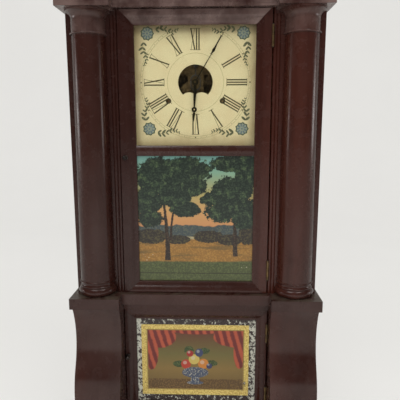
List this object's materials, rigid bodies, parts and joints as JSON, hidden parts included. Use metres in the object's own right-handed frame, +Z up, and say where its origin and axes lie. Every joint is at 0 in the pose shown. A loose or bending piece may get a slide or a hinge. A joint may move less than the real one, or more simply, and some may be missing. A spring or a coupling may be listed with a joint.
{
  "type": "shelf clock",
  "caption": "Weight-driven pendulum shelf clock in a tall case: half columns beside a glazed upper door, a painted lower door between scroll pilasters, hinged doors and a geared movement",
  "frame": {"origin": "middle of the bounding box on the surface that the clock stands on", "axes": "+Z up, +Y to the back, +X to the right of someone who faces the dial"},
  "size_m": [0.505, 0.1666, 0.86],
  "materials": {
    "case_veneer": "glossy",
    "door_veneer": "glossy",
    "pine": "matte",
    "clear_glass": "polished",
    "painted_glass": "polished",
    "dial_paint": "matte",
    "blued_steel": "polished",
    "knob_metal": "polished",
    "brass": "polished",
    "steel": "polished",
    "drum_wood": "matte",
    "iron": "matte",
    "cord": "matte"
  },
  "bodies": {
    "case": {"back_boards": "pine", "side_boards": "case_veneer", "top_board": "pine", "bottom_board": "pine", "front_stiles": "case_veneer", "front_cross_rails": "case_veneer", "door_bead_strips": "case_veneer", "cornice_frieze": "case_veneer", "crown_moulding": "case_veneer", "mid_shelf": "case_veneer", "left_column": "case_veneer", "right_column": "case_veneer", "left_scroll_pilaster": "case_veneer", "right_scroll_pilaster": "case_veneer", "base_plinth": "case_veneer", "case_hinge_leaves": "brass", "hinge_pins": "steel", "dial_plate": "dial_paint", "dial_cleats": "pine", "mounting_board": "pine", "movement_frame": "brass", "bell": "steel", "weight_cord_runs": "cord"},
    "upper_door": {"upper_door_stiles": "door_veneer", "upper_door_rails": "door_veneer", "dial_glass": "clear_glass", "tablet_glass": "painted_glass", "upper_glass_beads": "pine", "upper_door_hinge_leaves": "brass"},
    "upper_latch": {"upper_latch": "knob_metal"},
    "lower_door": {"lower_door_stiles": "door_veneer", "lower_door_rails": "door_veneer", "lower_tablet_glass": "painted_glass", "lower_glass_beads": "pine", "lower_door_hinge_leaves": "brass"},
    "lower_latch": {"lower_latch": "knob_metal"},
    "minute_hand": {"minute_hand": "blued_steel", "cannon_pinion": "brass"},
    "hour_hand": {"hour_hand": "blued_steel", "hour_wheel": "brass"},
    "minute_wheel": {"minute_wheel": "brass"},
    "time_drum": {"time_drum": "drum_wood"},
    "time_main_wheel": {"time_main_wheel": "brass"},
    "time_second_wheel": {"time_second_wheel": "brass"},
    "time_third_wheel": {"time_third_wheel": "brass"},
    "escape_wheel": {"escape_wheel": "brass"},
    "verge": {"verge": "steel"},
    "pendulum": {"pendulum_rod": "steel", "pendulum_bob": "brass"},
    "strike_drum": {"strike_drum": "drum_wood"},
    "strike_main_wheel": {"strike_main_wheel": "brass"},
    "strike_pin_wheel": {"strike_pin_wheel": "brass"},
    "strike_fly": {"strike_fly": "brass"},
    "hammer": {"hammer": "steel"},
    "left_weight": {"left_weight": "iron", "left_weight_cord": "cord"},
    "right_weight": {"right_weight": "iron", "right_weight_cord": "cord"},
    "left_pulley": {"left_pulley": "drum_wood"},
    "right_pulley": {"right_pulley": "drum_wood"}
  },
  "joints": [
    {"name": "upper_door_hinge", "type": "hinge", "parent": "case", "child": "upper_door", "pos_m": [0.1333, -0.02505, 0.543], "axis": [0, 0, 1], "range_deg": [0, 92]},
    {"name": "upper_latch_turn", "type": "hinge", "parent": "upper_door", "child": "upper_latch", "pos_m": [-0.1245, -0.02275, 0.544], "axis": [0, 1, 0], "range_deg": [-90, 0]},
    {"name": "lower_door_hinge", "type": "hinge", "parent": "case", "child": "lower_door", "pos_m": [0.1352, -0.01815, 0.14375], "axis": [0, 0, 1], "range_deg": [0, 90]},
    {"name": "lower_latch_turn", "type": "hinge", "parent": "lower_door", "child": "lower_latch", "pos_m": [-0.1318, -0.01575, 0.158], "axis": [0, 1, 0], "range_deg": [-90, 0]},
    {"name": "minute_hand_turn", "type": "hinge", "parent": "case", "child": "minute_hand", "pos_m": [0, 0.00125, 0.6765], "axis": [0, 1, 0], "continuous": true},
    {"name": "hour_hand_turn", "type": "hinge", "parent": "case", "child": "hour_hand", "pos_m": [0, 0.00125, 0.6765], "axis": [0, 1, 0], "continuous": true},
    {"name": "minute_wheel_turn", "type": "hinge", "parent": "case", "child": "minute_wheel", "pos_m": [-0.01316, 0.01225, 0.66422], "axis": [0, 1, 0], "continuous": true},
    {"name": "escape_wheel_turn", "type": "hinge", "parent": "case", "child": "escape_wheel", "pos_m": [0, 0.03125, 0.7105], "axis": [0, 1, 0], "continuous": true},
    {"name": "time_third_wheel_turn", "type": "hinge", "parent": "case", "child": "time_third_wheel", "pos_m": [0.02428, 0.03125, 0.69915], "axis": [0, 1, 0], "continuous": true},
    {"name": "time_second_wheel_turn", "type": "hinge", "parent": "case", "child": "time_second_wheel", "pos_m": [0.04245, 0.03125, 0.67945], "axis": [0, 1, 0], "continuous": true},
    {"name": "time_main_wheel_turn", "type": "hinge", "parent": "case", "child": "time_main_wheel", "pos_m": [0.0487, 0.03125, 0.644], "axis": [0, 1, 0], "continuous": true},
    {"name": "strike_fly_turn", "type": "hinge", "parent": "case", "child": "strike_fly", "pos_m": [-0.02905, 0.03125, 0.70266], "axis": [0, 1, 0], "continuous": true},
    {"name": "strike_pin_wheel_turn", "type": "hinge", "parent": "case", "child": "strike_pin_wheel", "pos_m": [-0.04245, 0.03125, 0.67945], "axis": [0, 1, 0], "continuous": true},
    {"name": "strike_main_wheel_turn", "type": "hinge", "parent": "case", "child": "strike_main_wheel", "pos_m": [-0.0487, 0.03125, 0.644], "axis": [0, 1, 0], "continuous": true},
    {"name": "pendulum_swing", "type": "hinge", "parent": "case", "child": "pendulum", "pos_m": [0, 0.00805, 0.7415], "axis": [0, 1, 0], "range_deg": [-3.5, 3.5]},
    {"name": "verge_swing", "type": "hinge", "parent": "case", "child": "verge", "pos_m": [0, 0.03125, 0.7335], "axis": [0, 1, 0], "range_deg": [-4.6, 4.6]},
    {"name": "hammer_lift", "type": "hinge", "parent": "case", "child": "hammer", "pos_m": [-0.012, 0.03625, 0.6205], "axis": [0, 1, 0], "range_deg": [0, 15]},
    {"name": "right_weight_fall", "type": "slide", "parent": "case", "child": "right_weight", "axis": [0, 0, 1], "range_m": [0, 0.55], "deforming": ["right_weight_cord"]},
    {"name": "left_weight_fall", "type": "slide", "parent": "case", "child": "left_weight", "axis": [0, 0, 1], "range_m": [0, 0.55], "deforming": ["left_weight_cord"]},
    {"name": "time_drum_turn", "type": "hinge", "parent": "case", "child": "time_drum", "pos_m": [0.0487, 0.03125, 0.644], "axis": [0, 1, 0], "range_deg": [-5, 3204]},
    {"name": "strike_drum_turn", "type": "hinge", "parent": "case", "child": "strike_drum", "pos_m": [-0.0487, 0.03125, 0.644], "axis": [0, 1, 0], "range_deg": [-3204, 5]},
    {"name": "right_pulley_turn", "type": "hinge", "parent": "case", "child": "right_pulley", "pos_m": [0.157, 0.03325, 0.81005], "axis": [0, 1, 0], "range_deg": [-2106, 5]},
    {"name": "left_pulley_turn", "type": "hinge", "parent": "case", "child": "left_pulley", "pos_m": [-0.157, 0.03325, 0.81005], "axis": [0, 1, 0], "range_deg": [-5, 2106]}
  ],
  "couplings": [
    {"joint": "hour_hand_turn", "follows": "minute_hand_turn", "ratio": 0.083333},
    {"joint": "minute_wheel_turn", "follows": "minute_hand_turn", "ratio": -0.33333},
    {"joint": "time_third_wheel_turn", "follows": "escape_wheel_turn", "ratio": -0.11667},
    {"joint": "time_second_wheel_turn", "follows": "escape_wheel_turn", "ratio": 0.013611},
    {"joint": "time_main_wheel_turn", "follows": "escape_wheel_turn", "ratio": -0.0015123},
    {"joint": "strike_pin_wheel_turn", "follows": "strike_fly_turn", "ratio": -0.11667},
    {"joint": "strike_main_wheel_turn", "follows": "strike_fly_turn", "ratio": 0.012963},
    {"joint": "verge_swing", "follows": "pendulum_swing", "ratio": 1.2857},
    {"joint": "time_drum_turn", "follows": "right_weight_fall", "rad_per_m": 101.52},
    {"joint": "strike_drum_turn", "follows": "left_weight_fall", "rad_per_m": -101.52},
    {"joint": "right_pulley_turn", "follows": "right_weight_fall", "rad_per_m": -66.667},
    {"joint": "left_pulley_turn", "follows": "left_weight_fall", "rad_per_m": 66.667}
  ]
}
